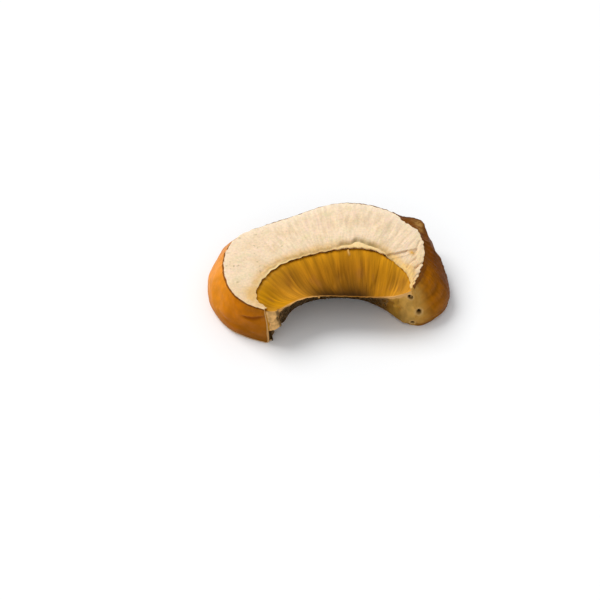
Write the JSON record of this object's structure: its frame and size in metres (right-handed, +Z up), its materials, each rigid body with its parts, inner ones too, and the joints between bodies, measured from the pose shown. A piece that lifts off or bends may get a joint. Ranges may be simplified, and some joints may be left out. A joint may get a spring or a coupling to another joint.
{
  "type": "dried porcini mushroom slice",
  "caption": "Thick arched slice of a dried porcini cap: pale flesh, brown skin round its outside and a shrunken ochre tube layer inside the arch.",
  "frame": {"origin": "middle of the slice's outline, on the surface that it lies on", "axes": "+X along the arch from its left tip to its right tip, +Z up out of the smaller cut face, the arch opens towards -Y"},
  "size_m": [0.051, 0.0334, 0.0107],
  "materials": {
    "cap_flesh": "matt, dry and slightly puckered",
    "tube_layer": "matt, fibrous, in fine parallel ribs"
  },
  "bodies": {
    "root": {"cap": "cap_flesh", "tube_layer": "tube_layer"}
  },
  "joints": []
}
